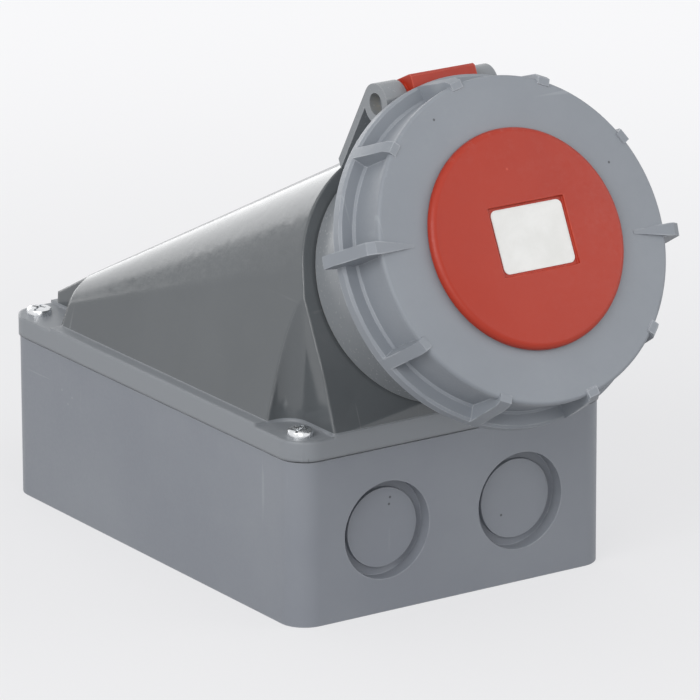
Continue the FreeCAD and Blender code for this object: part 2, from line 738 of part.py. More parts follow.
def make_bayonet_ring(size):
    """Ring with face plate, recessed side panels, back rim, grip ribs, two long grips and two inner lugs."""
    body = new_body("bayonet_ring", on_axis=True, turn="ring_turn")
    turned(body, [
        ("ring_window", "ring_face - ring_plate"), ("ring_window", "ring_face"),
        ("ring_front_radius", "ring_face"), ("ring_front_radius", "ring_face - 2.2"),
        ("ring_panel_radius", "ring_face - 3.6"),
        ("ring_panel_radius", RING_BACK + " + ring_rim_width + 0.6"),
        ("ring_panel_radius + 0.8", RING_BACK + " + ring_rim_width"),
        ("ring_rim_radius - 0.8", RING_BACK + " + ring_rim_width"),
        ("ring_rim_radius", RING_BACK + " + ring_rim_width - 0.8"), ("ring_rim_radius", RING_BACK),
        ("ring_bore", RING_BACK), ("ring_bore", "ring_face - ring_plate"),
    ])
    rounded(body, "ring_edge", rim_edge(size["ring_front_radius"], size["ring_face"]))
    inside = "ring_bore + 0.6"
    rib = outline(new_sketch(body, "XZ_Plane", "-rib_width / 2"), [
        (inside, RING_BACK + " + 0.4"), ("ring_rim_radius", RING_BACK + " + 0.4"),
        ("ring_rim_radius", RING_BACK + " + ring_rim_width"), ("rib_front_radius", "ring_face - 1.8"),
        ("rib_front_radius - 1.2", "ring_face + 0.4"), ("ring_front_radius - 1.6", "ring_face + 0.4"),
        ("ring_front_radius - 2.2", "ring_face - 0.8"), (inside, "ring_face - 1.5"),
    ])
    around(body, [extrude("Pad", body, rib, "rib_width")], "rib_count")
    grip = outline(new_sketch(body, "XZ_Plane", "-rib_width / 2"), [
        (inside, RING_BACK), ("grip_radius", RING_BACK), ("grip_radius", RING_BACK + " + 5"),
        ("ring_front_radius + 5", "ring_face"), ("ring_front_radius + 2.5", "ring_face + grip_rise"),
        ("grip_root", "ring_face + 0.15"), ("grip_root", "ring_face - 1"), (inside, "ring_face - 1"),
    ])
    around(body, [extrude("Pad", body, grip, "rib_width")], "2")
    taper = new_sketch(body, "XY_Plane", "ring_face")
    for side in ("", "-"):
        outline(taper, [("grip_root - 1", side + "0.4"), ("grip_root - 1", side + "(rib_width / 2 + 1)"),
                        ("ring_front_radius + 1", side + "(rib_width / 2 + 1)"),
                        ("ring_front_radius + 1", side + "rib_width / 2")])
    around(body, [extrude("Pocket", body, taper, "2 * grip_rise", back=True)], "2")
    lug = outline(new_sketch(body, "XZ_Plane", "-lug_width / 2"), [
        ("lug_radius", "lug_low"), ("ring_bore + 0.8", "lug_low"), ("ring_bore + 0.8", "lug_high"),
        ("lug_radius", "lug_high"),
    ])
    around(body, [extrude("Pad", body, lug, "lug_width")], "2")
    return body


def make_lid():
    """Lid inside the ring: plate, neck that carries the ring, seal ridges, arm and hinge knuckle."""
    body = new_body("lid", on_axis=True)
    neck = "(ring_window - play)"
    turned(body, [
        ("0", LID_BACK),
        ("seal_inner - seal_lip", LID_BACK), ("seal_inner - seal_lip", LID_BACK + " - seal_lip"),
        ("seal_inner", LID_BACK + " - seal_lip"), ("seal_inner", LID_BACK),
        ("seal_outer", LID_BACK), ("seal_outer", LID_BACK + " - seal_lip"),
        ("seal_outer + seal_lip", LID_BACK + " - seal_lip"), ("seal_outer + seal_lip", LID_BACK),
        ("lid_radius", LID_BACK), ("lid_radius", LID_FRONT), (neck, LID_FRONT), (neck, CAP_SEAT),
        ("cap_seat_radius", CAP_SEAT), ("cap_seat_radius", LID_FRONT), ("0", LID_FRONT),
    ])
    arm_back = "(%s - play - 0.1)" % RING_BACK
    top_up = "(hinge_up + knuckle_radius)"
    arm = outline(new_sketch(body, "YZ_Plane", "-arm_half_width"), [
        ("arm_inner", LID_FRONT), ("arm_outer", LID_FRONT), ("arm_outer", arm_back),
        (top_up + " - 0.8", arm_back), (top_up, arm_back + " - 0.8"), (top_up, "hinge_out"),
        ("hinge_up", "hinge_out"), ("hinge_up - knuckle_radius + 0.4", "hinge_out + 2"),
        ("arm_inner", "hinge_out + 5"),
    ])
    extrude("Pad", body, arm, "2 * arm_half_width")
    knuckle_side = "-knuckle_half_width"
    knuckle = circle(new_sketch(body, "YZ_Plane", knuckle_side), "knuckle_radius", "hinge_up", "hinge_out")
    extrude("Pad", body, knuckle, "2 * knuckle_half_width")
    spring_side = "-spring_half_width"
    pocket = circle(new_sketch(body, "YZ_Plane", spring_side), "spring_pocket", "hinge_up", "hinge_out")
    extrude("Pocket", body, pocket, "2 * spring_half_width", back=True)
    mouth = new_sketch(body, "YZ_Plane", spring_side)
    rectangle(mouth, "arm_inner - 1", "hinge_up",
              "hinge_out - spring_pocket - 3", "hinge_out + spring_pocket")
    extrude("Pocket", body, mouth, "2 * spring_half_width", back=True)
    hole = new_sketch(body, "YZ_Plane", knuckle_side)
    circle(hole, "pin_radius + pin_play", "hinge_up", "hinge_out")
    extrude("Pocket", body, hole, "2 * knuckle_half_width", back=True)
    return body


def make_lid_cap(size):
    """Disc in front of the ring, with its spigot in the lid's neck and a shallow label recess."""
    body = new_body("lid_cap", on_axis=True)
    top = "(ring_face + cap_height)"
    turned(body, [
        ("0", CAP_SEAT), ("cap_spigot_bore", CAP_SEAT), ("cap_spigot_bore", CAP_SEAT + " - cap_spigot"),
        ("cap_seat_radius", CAP_SEAT + " - cap_spigot"), ("cap_seat_radius", CAP_SEAT),
        ("cap_radius", CAP_SEAT), ("cap_radius", top), ("0", top),
    ])
    rounded(body, "cap_edge", rim_edge(size["cap_radius"], size["ring_face"] + size["cap_height"]))
    recess = new_sketch(body, "XY_Plane", top)
    rectangle(recess, "label_side - label_width / 2", "label_side + label_width / 2",
              "-label_height / 2", "label_height / 2")
    extrude("Pocket", body, recess, "label_depth")
    return body


def make_blank_label():
    """Blank sticker on the floor of the recess."""
    body = new_body("blank_label", on_axis=True)
    sketch = new_sketch(body, "XY_Plane", "ring_face + cap_height - label_depth")
    half_width = "(label_width / 2 - label_margin)"
    half_height = "(label_height / 2 - label_margin)"
    rectangle(sketch, "label_side - " + half_width, "label_side + " + half_width,
              "-" + half_height, half_height)
    extrude("Pad", body, sketch, "label_thickness")
    rounded(body, "label_corner", upright)
    return body


def make_lid_gasket():
    """Rubber ring between the lid's ridges, which closes on the mouth's rim."""
    body = new_body("lid_gasket", on_axis=True)
    low = LID_BACK + " - seal_height"
    turned(body, [("seal_inner", low + " + 0.5"), ("seal_inner + 0.5", low), ("seal_outer - 0.5", low),
                  ("seal_outer", low + " + 0.5"), ("seal_outer", LID_BACK), ("seal_inner", LID_BACK)])
    return body


def across_hinge(size, shape):
    """Turns a shape made along Z onto the hinge axis."""
    hinge = FreeCAD.Placement(VECTOR(0, size["hinge_up"], size["hinge_out"]),
                              FreeCAD.Rotation(VECTOR(0, 1, 0), VECTOR(0, 0, 1), VECTOR(1, 0, 0), "ZXY"))
    shape.Placement = socket_frame(size).multiply(hinge)
    return shape


def make_hinge_pin(size):
    """Brass pin through both ears and the knuckle, its ends set back in the ears."""
    half = size["ear_gap"] + size["ear_width"] - size["pin_recess"]
    radius = size["pin_radius"]
    pin = turned_solid([(0, -half), (radius - 0.4, -half), (radius, -half + 0.4), (radius, half - 0.4),
                        (radius - 0.4, half), (0, half)])
    return shaped("hinge_pin", across_hinge(size, pin))


def make_hinge_spring(size):
    """Close-wound torsion spring round the pin, with the leg that stands on the neck."""
    radius = size["spring_radius"]
    wire = size["spring_wire"]
    joint = wire * 0.3
    stations = range(2 * int(size["spring_coils"]) + 1)
    half = size["spring_coils"] * wire
    outer = [(radius + (wire if i % 2 else joint), i * wire - half) for i in stations]
    inner = [(radius - (wire if i % 2 else joint), i * wire - half) for i in reversed(stations)]
    reach = size["hinge_up"] - size["collar_radius"] + wire / 2
    leg = Part.makeCylinder(wire, reach, VECTOR(0, radius, half - wire), VECTOR(-1, 0, 0))
    return shaped("hinge_spring", across_hinge(size, turned_solid(outer + inner).fuse(leg)))


CONTACTS = {
    # name: bore, distance from the socket's axis, direction in degrees, setback from the carrier's face
    "phase_contact_1": ("phase_bore", "contact_circle", 180, "contact_setback"),
    "phase_contact_2": ("phase_bore", "contact_circle", 90, "contact_setback"),
    "phase_contact_3": ("phase_bore", "contact_circle", 0, "contact_setback"),
    "earth_contact": ("earth_bore", "contact_circle", 270, "contact_setback"),
    "pilot_contact": ("pilot_bore", "pilot_offset", 0, "pilot_setback"),
}
RETAINER_ANGLES = (45, 225)


def polar(distance, angle, turn="0"):
    """Place at a distance and an angle round the axis, seen from a frame that is itself turned."""
    return "%s * cos(%s - %s)" % (distance, angle, turn), "%s * sin(%s - %s)" % (distance, angle, turn)


def make_contact_carrier():
    """Insulating tower with a through chamber for each contact, and the flange that seats it."""
    body = new_body("contact_carrier", on_axis=True, turn="carrier_turn")
    turned(body, [
        ("0", "-carrier_back"), ("tower_radius", "-carrier_back"), ("tower_radius", "-carrier_flange_height"),
        ("carrier_flange", "-carrier_flange_height"), ("carrier_flange", "0"), ("tower_radius", "0"),
        ("tower_radius", "tower_top - 1"), ("tower_radius - 1", "tower_top"), ("0", "tower_top"),
    ])
    chambers = new_sketch(body, "XY_Plane", "tower_top")
    for bore, distance, angle, setback in CONTACTS.values():
        circle(chambers, bore + " + contact_wall + contact_play", *polar(distance, angle, "carrier_turn"))
    extrude("Pocket", body, chambers, "tower_top + carrier_back")
    screws = new_sketch(body, "XY_Plane", "-carrier_back")
    for angle in RETAINER_ANGLES:
        circle(screws, "terminal_screw_radius", *polar("retainer_screw_circle", angle, "carrier_turn"))
    extrude("Pocket", body, screws, "retainer_screw_length", back=True)
    return body


def make_contact(name):
    """Contact tube with its collar, slits and wire terminal."""
    bore, distance, angle, setback = CONTACTS[name]
    across, up = polar(distance, angle)
    body = new_body(name, on_axis=True, turn="contact_turn", across=across, up=up)
    outer = "(%s + contact_wall)" % bore
    tip = "(tower_top - %s)" % setback
    back = "(-carrier_back - retainer_gap - terminal_length)"
    turned(body, [
        ("0", back), (outer, back), (outer, "-carrier_back - retainer_gap"),
        (outer + " + contact_collar", "-carrier_back - retainer_gap"),
        (outer + " + contact_collar", "-carrier_back"),
        (outer, "-carrier_back"), (outer, tip), (bore, tip), (bore, tip + " - contact_depth"),
        ("0", tip + " - contact_depth"),
    ])
    slit = new_sketch(body, "XY_Plane", tip)
    rectangle(slit, "-contact_slit / 2", "contact_slit / 2", "-(%s + 1)" % outer, "%s + 1" % outer)
    extrude("Pocket", body, slit, "contact_slit_length")
    wire = circle(new_sketch(body, "XY_Plane", back), "min(wire_hole; %s - 0.4)" % bore)
    extrude("Pocket", body, wire, "wire_depth", back=True)
    screw = new_sketch(body, "XZ_Plane", "0")
    circle(screw, "terminal_screw_radius", "0", back + " + terminal_screw_inset")
    extrude("Pocket", body, screw, "2 * " + outer, back=True)
    return body


def make_terminal_screws(size):
    """One clamping screw in each terminal, turned towards the open underside of the hood."""
    frame = socket_frame(size)
    terminal_back = -size["carrier_back"] - size["retainer_gap"] - size["terminal_length"]
    height = terminal_back + size["terminal_screw_inset"]
    upright_axis = VECTOR(0, 0, 1)
    screws = []
    for bore, distance, angle, setback in CONTACTS.values():
        outer = size[bore] + size["contact_wall"]
        screw = slotted_screw(size["terminal_head"], size["terminal_head_height"],
                              size["terminal_screw_radius"], outer - 0.8)
        centre = FreeCAD.Rotation(upright_axis, angle).multVec(VECTOR(size[distance], 0, height))
        contact = FreeCAD.Placement(centre, FreeCAD.Rotation(upright_axis, size["contact_turn"]))
        seat = FreeCAD.Placement(VECTOR(0, -outer, 0), FreeCAD.Rotation(VECTOR(1, 0, 0), 90))
        screw.Placement = frame.multiply(contact).multiply(seat)
        screws.append(screw)
    return shaped("terminal_screws", Part.makeCompound(screws))


def make_retainer_plate():
    """Insulating plate behind the contacts' collars."""
    body = new_body("retainer_plate", on_axis=True)
    top = "(-carrier_back - retainer_gap)"
    places = [polar("retainer_screw_circle", angle) for angle in RETAINER_ANGLES]
    plate = circle(new_sketch(body, "XY_Plane", top), "retainer_radius")
    for bore, distance, angle, setback in CONTACTS.values():
        circle(plate, bore + " + contact_wall + contact_play", *polar(distance, angle))
    spacers = new_sketch(body, "XY_Plane", top)
    for across, up in places:
        circle(plate, "terminal_screw_radius + screw_play", across, up)
        circle(spacers, "terminal_head + 0.8", across, up)
        circle(spacers, "terminal_screw_radius + screw_play", across, up)
    extrude("Pad", body, plate, "retainer_height", back=True)
    extrude("Pad", body, spacers, "retainer_gap")
    return body


def make_retainer_screws(size):
    """Two screws through the plate into the carrier."""
    frame = socket_frame(size)
    grip = size["retainer_gap"] + size["retainer_height"]
    screw = slotted_screw(size["terminal_head"], size["terminal_head_height"], size["terminal_screw_radius"],
                          size["retainer_screw_length"] + grip - size["retainer_screw_end"])
    screws = []
    for angle in RETAINER_ANGLES:
        centre = FreeCAD.Rotation(VECTOR(0, 0, 1), angle).multVec(VECTOR(size["retainer_screw_circle"], 0, 0))
        copy = screw.copy()
        place = FreeCAD.Placement(centre + VECTOR(0, 0, -size["carrier_back"] - grip),
                                  FreeCAD.Rotation(VECTOR(1, 0, 0), 180))
        copy.Placement = frame.multiply(place)
        screws.append(copy)
    return shaped("retainer_screws", Part.makeCompound(screws))


def make_carrier_clip():
    """Open snap ring in the spigot's groove, behind the carrier's flange."""
    body = new_body("carrier_clip", on_axis=True)
    high = "-carrier_flange_height"
    low = "-carrier_flange_height - clip_height"
    turned(body, [("clip_inner", low), ("clip_outer", low), ("clip_outer", high), ("clip_inner", high)],
           sweep="360 - clip_opening_angle", start="clip_opening_angle / 2 - 90")
    return body


def export(nodes):
    """Checks every object and node, then writes one STEP file for each node."""
    DOC.recompute()
    for item in DOC.Objects:
        for word in ("Invalid", "Error"):
            if word in item.State:
                raise RuntimeError("%s is %s" % (item.Label, item.State))
    os.makedirs("parts", exist_ok=True)
    for node in nodes:
        if node.Shape.isNull() or not node.Shape.isValid():
            raise RuntimeError("%s has no valid shape" % node.Label)
        node.Shape.exportStep("parts/%s.step" % node.Label)
        print("%-20s solids %d volume %.1f" % (node.Label, len(node.Shape.Solids), node.Shape.Volume))


def main():
    size = fill_sheet()
    nodes = [
        make_base_box(), make_cover_gasket(), make_hood(size), make_cover_screws(size),
        make_threaded_inserts(size), make_socket_housing(), make_housing_gasket(), make_clamp_nut(),
        make_bayonet_ring(size), make_lid(), make_lid_cap(size), make_blank_label(), make_lid_gasket(),
        make_hinge_pin(size), make_hinge_spring(size), make_contact_carrier(), make_terminal_screws(size),
        make_retainer_plate(), make_retainer_screws(size), make_carrier_clip(),
    ]
    nodes += [make_contact(name) for name in CONTACTS]
    export(nodes)


main()
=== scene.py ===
"""Dresses the industrial wall socket: plastics, metals, rubber, screws, lights and the camera."""

import bmesh
import bpy
import json
import math
from mathutils import Matrix, Vector


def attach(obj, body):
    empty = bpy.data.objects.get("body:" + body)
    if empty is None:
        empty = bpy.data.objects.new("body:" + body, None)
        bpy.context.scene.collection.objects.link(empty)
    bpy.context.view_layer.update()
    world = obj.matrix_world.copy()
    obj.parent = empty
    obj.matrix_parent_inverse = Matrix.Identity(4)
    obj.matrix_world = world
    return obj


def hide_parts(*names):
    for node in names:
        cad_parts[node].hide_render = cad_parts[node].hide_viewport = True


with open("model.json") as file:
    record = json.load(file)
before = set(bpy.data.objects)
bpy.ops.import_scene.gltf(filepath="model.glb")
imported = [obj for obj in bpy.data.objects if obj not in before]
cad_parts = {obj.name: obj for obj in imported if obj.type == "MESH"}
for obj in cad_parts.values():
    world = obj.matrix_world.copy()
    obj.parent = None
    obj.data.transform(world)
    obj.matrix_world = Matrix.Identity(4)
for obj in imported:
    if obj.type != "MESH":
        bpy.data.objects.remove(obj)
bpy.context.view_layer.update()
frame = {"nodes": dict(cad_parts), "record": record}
MM = 0.001
SLOT_OF = {part["node"]: part["material_slot"] for part in frame["record"]["subparts"]}
BODIES = frame["record"]["behaviour"]["bodies"]
BODY_OF = {node: body for body, nodes in BODIES.items() for node in nodes}

# The socket's own frame: X across, Y up the hood's face, Z out along the mouth.
TILT = math.radians(25.8)
FACE_CENTRE = Vector((0, -69.0, 100.43)) * MM
SOCKET = Matrix.Translation(FACE_CENTRE) @ Matrix.Rotation(math.pi / 2 - TILT, 4, "X")

# Camera of the photograph, in degrees and metres, looking at the middle of the box's back.
CAMERA_AZIMUTH = 33.706
CAMERA_ELEVATION = 17.392
CAMERA_ROLL = -0.212
CAMERA_DISTANCE = 2.24871
CAMERA_OFFSET = (0.01458, 0.05652)
CAMERA_LENS = 355.58
SENSOR_WIDTH = 36

# The lights face this point, in the middle of the hood.
AIM = Vector((0, -0.02, 0.09))
LAMP_DISTANCE = 2.2


# Node helpers

def put(tree, kind, inputs=None, **settings):
    """Adds a node, sets its own settings, and fills or links its inputs."""
    node = tree.nodes.new(kind)
    for name, value in settings.items():
        setattr(node, name, value)
    for name, value in (inputs or {}).items():
        if isinstance(value, bpy.types.NodeSocket):
            tree.links.new(value, node.inputs[name])
        else:
            node.inputs[name].default_value = value
    return node


def tree_of(kind, name, inputs, outputs):
    """Starts a node group with named sockets, each given as (name, type, value)."""
    tree = bpy.data.node_groups.new(name, kind)
    for title, socket_type, value in inputs:
        socket = tree.interface.new_socket(title, in_out="INPUT", socket_type=socket_type)
        if value is not None:
            socket.default_value = value
    for title, socket_type in outputs:
        tree.interface.new_socket(title, in_out="OUTPUT", socket_type=socket_type)
    return tree, tree.nodes.new("NodeGroupInput"), tree.nodes.new("NodeGroupOutput")


def number(title, value):
    """A number input of a node group."""
    return (title, "NodeSocketFloat", value)


def calculate(tree, operation, first, second=0.5, clamp=False):
    """One Math node's result."""
    node = put(tree, "ShaderNodeMath", {0: first, 1: second}, operation=operation, use_clamp=clamp)
    return node.outputs[0]


def multiply(tree, first, second, clamp=False):
    """Product of two values."""
    return calculate(tree, "MULTIPLY", first, second, clamp)


def spread(tree, value, low, high, out_low=0.0, out_high=1.0):
    """Maps a value's range to another, smoothly and clamped."""
    mapped = put(tree, "ShaderNodeMapRange", {"Value": value, "From Min": low, "From Max": high,
                                              "To Min": out_low, "To Max": out_high},
                 interpolation_type="SMOOTHSTEP")
    return mapped.outputs["Result"]


def blend(tree, share, first, second):
    """Colour between two colours."""
    mix = put(tree, "ShaderNodeMix", data_type="RGBA")
    for socket, value in ((mix.inputs["Factor"], share), (mix.inputs[6], first), (mix.inputs[7], second)):
        if isinstance(value, bpy.types.NodeSocket):
            tree.links.new(value, socket)
        else:
            socket.default_value = value
    return mix.outputs[2]


def object_points(tree, scale=(1, 1, 1), turn=(0, 0, 0)):
    """Object coordinates, stretched and turned."""
    source = put(tree, "ShaderNodeTexCoord").outputs["Object"]
    mapped = put(tree, "ShaderNodeMapping", {"Vector": source, "Scale": scale, "Rotation": turn})
    return mapped.outputs["Vector"]


def noise(tree, points, scale, detail=2.0, roughness=0.5):
    """Noise between 0 and 1 at some points."""
    texture = put(tree, "ShaderNodeTexNoise", {"Vector": points, "Scale": scale, "Detail": detail,
                                               "Roughness": roughness})
    return texture.outputs["Fac"]


def offset(tree, **along):
    """Vector with some of its X, Y and Z given."""
    return put(tree, "ShaderNodeCombineXYZ", along).outputs[0]


# Effects that several materials share

# Most of a noise's values lie between these two.
NOISE_SPAN = (0.3, 0.7)

# An edge starts and is full where the rounded and the flat normal agree this much.
EDGE_AGREEMENT = (0.995, 0.86)
EDGE_BREAKS = (0.35, 0.6)

# Three families of scratches, each with its turn and the scale of its noise along X, Y and Z.
SCRATCHES = (
    ((0.4, 0.9, 0.3), (300, 14, 14)),
    ((1.3, -0.5, 1.9), (14, 360, 14)),
    ((-0.7, 0.2, 1.1), (12, 14, 330)),
)
SCRATCH_SPAN = (0.69, 0.74)
SCRATCH_PATCH_SCALE = (24, 24, 24)
SCRATCH_PATCH_SPAN = (0.52, 0.62)

# Dust lies where the surface's normal has this much Z, and gathers in specks.
DUST_SLOPE = (0.3, 0.95)
DUST_SPECK_SPAN = (0.48, 0.72)

# A spot is full up to the first share of its radius and gone at the second.
SPOT_RIM = (0.6, 1.2)


def make_moulded_skin():
    """Slow tone changes and the fine grain of a moulded or cast surface."""
    tree, given, made = tree_of("ShaderNodeTree", "moulded_skin",
                                [number("Cloud Scale", 14.0), number("Grain Scale", 900.0)],
                                [("Tone", "NodeSocketFloat"), ("Grain", "NodeSocketFloat")])
    points = object_points(tree)
    cloud = noise(tree, points, given.outputs["Cloud Scale"], detail=5.0, roughness=0.6)
    grain = noise(tree, points, given.outputs["Grain Scale"], detail=3.0, roughness=0.65)
    tree.links.new(spread(tree, cloud, *NOISE_SPAN), made.inputs["Tone"])
    tree.links.new(grain, made.inputs["Grain"])
    return tree


def make_edge_mask():
    """Mask of the edges, broken up by noise: where handling wears them, and where plastics get a painted
    highlight.
    """
    tree, given, made = tree_of("ShaderNodeTree", "edge_mask",
                                [number("Width", 0.0008), number("Break Scale", 120.0)],
                                [("Edge", "NodeSocketFloat")])
    rounded = put(tree, "ShaderNodeBevel", {"Radius": given.outputs["Width"]}, samples=6)
    flat = put(tree, "ShaderNodeNewGeometry")
    alike = put(tree, "ShaderNodeVectorMath", {0: rounded.outputs[0], 1: flat.outputs["Normal"]},
                operation="DOT_PRODUCT")
    edge = spread(tree, alike.outputs["Value"], *EDGE_AGREEMENT)
    broken = noise(tree, object_points(tree), given.outputs["Break Scale"], detail=4.0)
    tree.links.new(multiply(tree, edge, spread(tree, broken, *EDGE_BREAKS)), made.inputs["Edge"])
    return tree


def make_scuffs():
    """Thin scratches in three directions, each only in some patches."""
    tree, given, made = tree_of("ShaderNodeTree", "scuffs", [number("Amount", 0.5), number("Scale", 1.0)],
                                [("Marks", "NodeSocketFloat")])
    total = None
    for turn, stretch in SCRATCHES:
        lines = noise(tree, object_points(tree, stretch, turn), given.outputs["Scale"])
        patches = noise(tree, object_points(tree, SCRATCH_PATCH_SCALE, turn), 1.0)
        mask = multiply(tree, spread(tree, lines, *SCRATCH_SPAN),
                        spread(tree, patches, *SCRATCH_PATCH_SPAN))
        total = mask if total is None else calculate(tree, "MAXIMUM", total, mask)
    tree.links.new(multiply(tree, total, given.outputs["Amount"], clamp=True), made.inputs["Marks"])
    return tree


def make_settled_dust():
    """Pale dust on what faces up, uneven and thin."""
    tree, given, made = tree_of("ShaderNodeTree", "settled_dust", [number("Amount", 0.2)],
                                [("Dust", "NodeSocketFloat")])
    surface = put(tree, "ShaderNodeNewGeometry")
    up = put(tree, "ShaderNodeSeparateXYZ", {"Vector": surface.outputs["Normal"]})
    specks = noise(tree, object_points(tree), 260.0, detail=6.0, roughness=0.7)
    film = noise(tree, object_points(tree), 22.0, detail=4.0)
    amount = multiply(tree, spread(tree, up.outputs["Z"], *DUST_SLOPE),
                      spread(tree, specks, *DUST_SPECK_SPAN))
    amount = multiply(tree, amount, spread(tree, film, *NOISE_SPAN))
    tree.links.new(multiply(tree, amount, given.outputs["Amount"], clamp=True), made.inputs["Dust"])
    return tree


def make_soft_corner():
    """Normal that turns gently over an edge, as a moulded radius does."""
    tree, given, made = tree_of("ShaderNodeTree", "soft_corner", [number("Radius", 0.0008)],
                                [("Normal", "NodeSocketVector")])
    corner = put(tree, "ShaderNodeBevel", {"Radius": given.outputs["Radius"]}, samples=8)
    tree.links.new(corner.outputs[0], made.inputs["Normal"])
    return tree


def make_spot():
    """Mask of one small round mark at a place on the object."""
    tree, given, made = tree_of("ShaderNodeTree", "spot",
                                [("Centre", "NodeSocketVector", (0.0, 0.0, 0.0)),
                                 number("Radius", 0.0005)],
                                [("Spot", "NodeSocketFloat")])
    away = put(tree, "ShaderNodeVectorMath", {0: object_points(tree), 1: given.outputs["Centre"]},
               operation="DISTANCE")
    ratio = calculate(tree, "DIVIDE", away.outputs["Value"], given.outputs["Radius"])
    tree.links.new(spread(tree, ratio, *SPOT_RIM, 1.0, 0.0), made.inputs["Spot"])
    return tree


SKIN = make_moulded_skin()
EDGES = make_edge_mask()
SCUFFS = make_scuffs()
DUST = make_settled_dust()
CORNER = make_soft_corner()
SPOT = make_spot()


# Materials

def linear(level):
    """Linear value of a display level from 0 to 255."""
    level = level / 255
    return level / 12.92 if level <= 0.04045 else ((level + 0.055) / 1.055) ** 2.4


def colour(red, green, blue):
    """Linear colour from display levels."""
    return (linear(red), linear(green), linear(blue), 1.0)


DARK_SPECK = colour(62, 63, 66)
PALE_DUST = colour(205, 205, 202)
SPOT_RADIUS = 0.45 * MM
SPECK_SHARE = 0.8
RUB_SHARE = 0.35

# What the grain, scratches and dust do to a plastic's tone, roughness and height.
GRAIN_SPAN = (0.25, 0.75)
GRAIN_SMOOTHER = 0.06
GRAIN_ROUGHER = 0.07
GRAIN_HEIGHT = 0.06 * MM
SCRATCH_TINT = 0.6
SCRATCH_ROUGHNESS = 0.18
SCRATCH_DEPTH = 0.8
DUST_ROUGHNESS = 0.35

# The same for metals.
BRUSH_SMOOTHER = 0.08
BRUSH_ROUGHER = 0.1
BRUSH_HEIGHT = 0.006 * MM
METAL_CLOUDS = 0.6
METAL_SCRATCH_ROUGHNESS = 0.2

# The label film's grain and the roughness it gives.
LABEL_GRAIN_SPAN = (0.2, 0.8)
LABEL_ROUGHNESS = (0.32, 0.5)
LABEL_EDGE_GRIME = 0.5

# The flange is duller than the hood up to this height, and painted paler there for the light it catches.
FLANGE_TOP = 62.0 * MM
FLANGE_BLEND = 0.2 * MM


def new_material(name):
    """Empty material with its output node."""
    material = bpy.data.materials.new(name)
    material.use_nodes = True
    material.node_tree.nodes.clear()
    return material, material.node_tree, put(material.node_tree, "ShaderNodeOutputMaterial")


def place(tree, group, values=None):
    """A group node with its own values."""
    return put(tree, "ShaderNodeGroup", values, node_tree=group)


def spot_mask(tree, places):
    """One mask of several small round marks, their places in millimetres."""
    total = None
    for place_at in places:
        centre = tuple(along * MM for along in place_at)
        mask = place(tree, SPOT, {"Centre": centre, "Radius": SPOT_RADIUS}).outputs["Spot"]
        total = mask if total is None else calculate(tree, "MAXIMUM", total, mask)
    return total


def plastic(name, base, shade, worn_and_sheen, roughness, gloss=0.5, grain=0.25, dust=0.25, edge_wear_and_sheen=0.5, scuffs=0.5,
            grain_scale=900.0, corner=0.0, specks=(), rubs=(), zone=None):
    """Moulded plastic: cloudy tone, paler edges of wear and painted highlight, scratches, dust, small
    marks and a fine grain.
    """
    material, tree, output = new_material(name)
    skin = place(tree, SKIN, {"Grain Scale": grain_scale})
    edge = multiply(tree, place(tree, EDGES).outputs["Edge"], edge_wear_and_sheen)
    marks = place(tree, SCUFFS, {"Amount": scuffs}).outputs["Marks"]
    tint = blend(tree, skin.outputs["Tone"], shade, base)
    rough = spread(tree, skin.outputs["Grain"], *GRAIN_SPAN, roughness - GRAIN_SMOOTHER,
                   roughness + GRAIN_ROUGHER)
    strength = grain
    # A zone's own roughness and grain, and its tint, which on the flange is painted light.
    if zone:
        inside = zone["mask"](tree)
        tint = blend(tree, inside, tint, zone["tint"])
        rough = spread(tree, inside, 0.0, 1.0, rough, zone["roughness"])
        strength = spread(tree, inside, 0.0, 1.0, grain, zone["grain"])
    # Paler edges: partly wear, partly a painted highlight where the edges catch the light.
    tint = blend(tree, edge, tint, worn_and_sheen)
    tint = blend(tree, multiply(tree, marks, SCRATCH_TINT), tint, worn_and_sheen)
    if rubs:
        tint = blend(tree, multiply(tree, spot_mask(tree, rubs), RUB_SHARE), tint, worn_and_sheen)
    if specks:
        tint = blend(tree, multiply(tree, spot_mask(tree, specks), SPECK_SHARE), tint, DARK_SPECK)
    dusty = place(tree, DUST, {"Amount": dust}).outputs["Dust"]
    tint = blend(tree, dusty, tint, PALE_DUST)
    rough = calculate(tree, "ADD", rough, multiply(tree, marks, SCRATCH_ROUGHNESS))
    rough = calculate(tree, "ADD", rough, multiply(tree, dusty, DUST_ROUGHNESS), clamp=True)
    height = calculate(tree, "SUBTRACT", skin.outputs["Grain"], multiply(tree, marks, SCRATCH_DEPTH))
    bump = put(tree, "ShaderNodeBump", {"Strength": strength, "Distance": GRAIN_HEIGHT, "Height": height})
    if corner:
        rounding = place(tree, CORNER, {"Radius": corner})
        tree.links.new(rounding.outputs["Normal"], bump.inputs["Normal"])
    shader = put(tree, "ShaderNodeBsdfPrincipled",
                 {"Base Color": tint, "Roughness": rough, "Normal": bump.outputs["Normal"],
                  "Specular IOR Level": gloss})
    tree.links.new(shader.outputs[0], output.inputs["Surface"])
    return material


def flange_zone(tree):
    """Mask of the cover's flat flange, below the polished hood."""
    height = put(tree, "ShaderNodeSeparateXYZ", {"Vector": object_points(tree)}).outputs["Z"]
    return spread(tree, height, FLANGE_TOP + FLANGE_BLEND, FLANGE_TOP)


